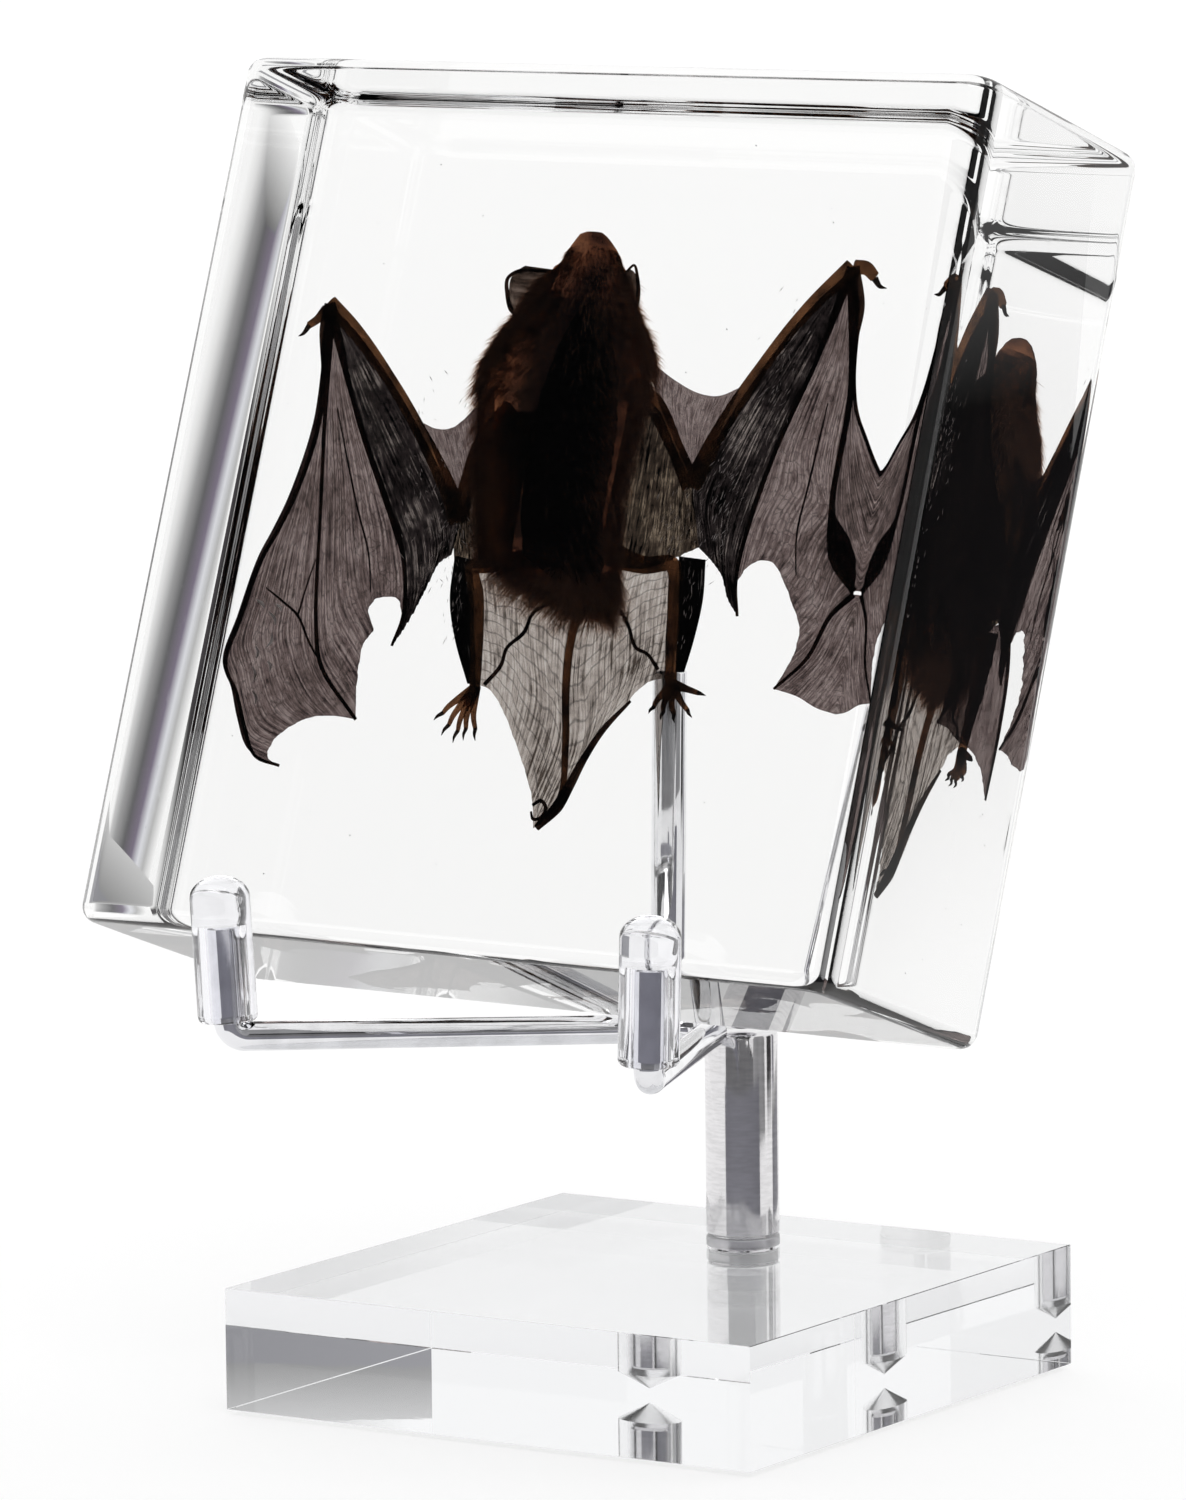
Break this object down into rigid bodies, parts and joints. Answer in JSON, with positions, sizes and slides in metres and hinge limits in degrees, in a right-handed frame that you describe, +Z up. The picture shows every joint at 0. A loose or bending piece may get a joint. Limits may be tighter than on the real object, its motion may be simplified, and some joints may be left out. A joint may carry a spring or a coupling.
{
  "type": "bat in resin block on stand",
  "caption": "Dried bat with spread wings cast in a clear square resin block, leaning on a chromed wire holder over a clear acrylic base.",
  "frame": {"origin": "centre of the acrylic base's underside", "axes": "+Z up, -Y towards the front of the stand, +X to the right as seen from the front"},
  "size_m": [0.1154, 0.0841, 0.1615],
  "materials": {
    "clear_acrylic": "clear acrylic with polished faces",
    "steel_post": "turned and lightly polished stainless steel",
    "chromed_wire": "bright chrome plating",
    "clear_vinyl": "soft clear vinyl, slightly milky",
    "clear_resin": "clear casting resin, polished, rounded edges",
    "bat_skin_and_fur": "dried wing skin, brown-grey, with dark brown fur"
  },
  "bodies": {
    "root": {"acrylic_base": "clear_acrylic", "post_collar": "clear_acrylic", "support_post": "steel_post", "wire_fork": "chromed_wire", "left_sleeve": "clear_vinyl", "right_sleeve": "clear_vinyl", "rear_rod": "chromed_wire", "resin_front": "clear_resin", "resin_back": "clear_resin", "bat": "bat_skin_and_fur"}
  },
  "joints": []
}
